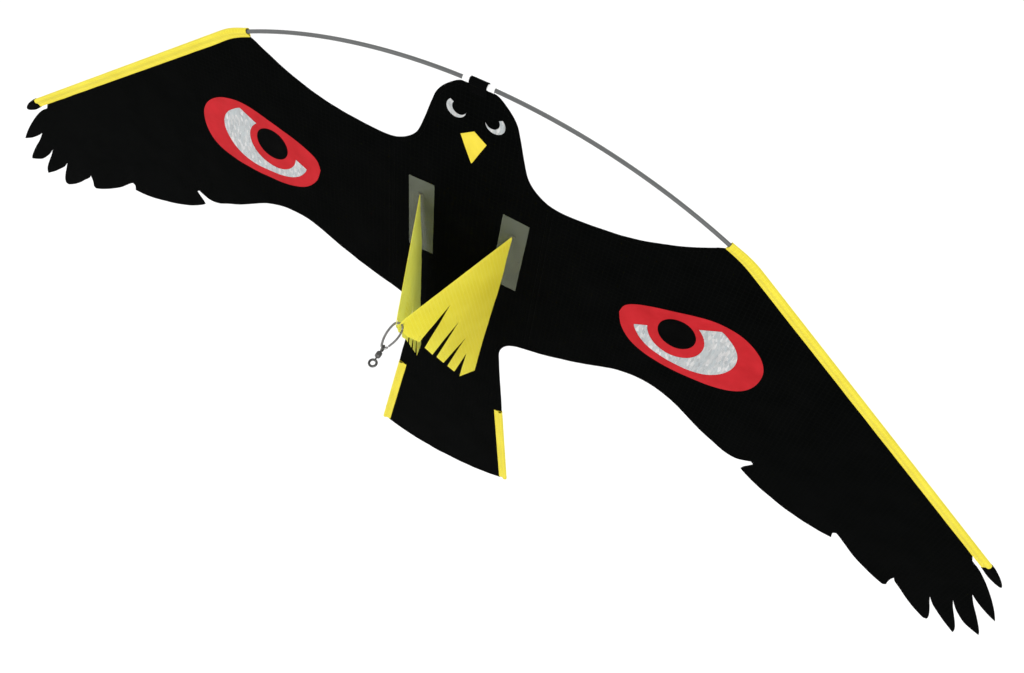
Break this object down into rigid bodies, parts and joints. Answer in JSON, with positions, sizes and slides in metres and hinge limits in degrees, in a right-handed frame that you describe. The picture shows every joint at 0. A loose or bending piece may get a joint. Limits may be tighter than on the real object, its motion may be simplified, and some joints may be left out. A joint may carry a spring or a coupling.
{
  "type": "bird scarer kite",
  "caption": "Bird-of-prey shaped scarer kite: black cloth sail with yellow sleeves on a sprung spar, wing eyes, toed yellow legs as bridle and a snap swivel for the line.",
  "frame": {"origin": "centre of the bore of the tow eye, where the line is tied", "axes": "+X to the kite's side along the wings, +Y from the belly to the back, +Z from tail to head"},
  "size_m": [1.3284, 0.1836, 0.645],
  "materials": {
    "black_cloth": "black ripstop cloth, slight sheen",
    "yellow_cloth": "bright yellow coated cloth",
    "leg_cloth": "bright yellow stiffened cloth with hot-cut toes",
    "yellow_film": "yellow film",
    "thread": "yellow sewing thread",
    "clear_film": "clear film, hazy over the black cloth",
    "silver_film": "holographic silver film",
    "red_film": "red film",
    "black_film": "black film",
    "fibreglass": "grey pultruded glass fibre",
    "tube": "milky flexible tube",
    "steel": "nickel-plated steel wire"
  },
  "bodies": {
    "airframe": {"sail_centre": "black_cloth", "head_loop": "black_cloth", "centre_tube": "tube", "beak": "yellow_film", "head_eye_left": "silver_film", "head_eye_right": "silver_film", "leg_patch_left": "clear_film", "leg_patch_right": "clear_film", "leg_tack_left": "thread", "leg_tack_right": "thread", "tail_sleeve_left": "yellow_cloth", "tail_sleeve_right": "yellow_cloth", "tail_rod_left": "fibreglass", "tail_rod_right": "fibreglass"},
    "right_wing": {"wing_panel_right": "black_cloth", "wing_sleeve_right": "yellow_cloth", "spar_right": "fibreglass", "tip_pocket_right": "black_cloth", "eye_field_right": "red_film", "eye_foil_right": "silver_film", "eye_pupil_right": "black_film"},
    "left_wing": {"wing_panel_left": "black_cloth", "wing_sleeve_left": "yellow_cloth", "spar_left": "fibreglass", "tip_pocket_left": "black_cloth", "eye_field_left": "red_film", "eye_foil_left": "silver_film", "eye_pupil_left": "black_film"},
    "left_leg": {"leg_left": "leg_cloth"},
    "right_leg": {"leg_right": "leg_cloth"},
    "snap": {"snap_hook": "steel"},
    "gate": {"snap_gate": "steel"},
    "link": {"link_eye": "steel"},
    "barrel": {"swivel_barrel": "steel"},
    "tow": {"tow_eye": "steel"}
  },
  "joints": [
    {"name": "right_wing_flex", "type": "hinge", "parent": "airframe", "child": "right_wing", "pos_m": [0.004, 0.1745, 0.218], "axis": [0, 0, 1], "range_deg": [-8, 18], "stiffness_Nm_per_rad": 0.6, "deforming": ["centre_tube"]},
    {"name": "left_wing_flex", "type": "hinge", "parent": "airframe", "child": "left_wing", "pos_m": [-0.004, 0.1745, 0.218], "axis": [0, 0, -1], "range_deg": [-8, 18], "stiffness_Nm_per_rad": 0.6, "deforming": ["centre_tube"]},
    {"name": "left_leg_swing", "type": "hinge", "parent": "airframe", "child": "left_leg", "pos_m": [-0.054, 0.173, 0.052], "axis": [1, 0, 0], "range_deg": [-45, 2]},
    {"name": "right_leg_swing", "type": "hinge", "parent": "airframe", "child": "right_leg", "pos_m": [0.054, 0.173, 0.052], "axis": [1, 0, 0], "range_deg": [-45, 2]},
    {"name": "snap_swing", "type": "hinge", "parent": "left_leg", "child": "snap", "pos_m": [0, 0.04788, 0.00843], "axis": [1, 0, 0], "range_deg": [-50, 50]},
    {"name": "gate_open", "type": "hinge", "parent": "snap", "child": "gate", "pos_m": [0.00392, 0.02273, 0.004], "axis": [0, 0.1734, -0.9849], "range_deg": [0, 26], "stiffness_Nm_per_rad": 0.004},
    {"name": "link_swing", "type": "hinge", "parent": "snap", "child": "link", "pos_m": [0, 0.01817, 0.0032], "axis": [1, 0, 0], "range_deg": [-60, 60]},
    {"name": "barrel_spin", "type": "hinge", "parent": "link", "child": "barrel", "pos_m": [0, 0.00985, 0.00173], "axis": [0, 0.9849, 0.1734], "continuous": true},
    {"name": "tow_eye_spin", "type": "hinge", "parent": "barrel", "child": "tow", "pos_m": [0, 0, 0], "axis": [0, 0.9849, 0.1734], "continuous": true}
  ],
  "couplings": [
    {"joint": "right_leg_swing", "follows": "left_leg_swing", "ratio": 1}
  ]
}
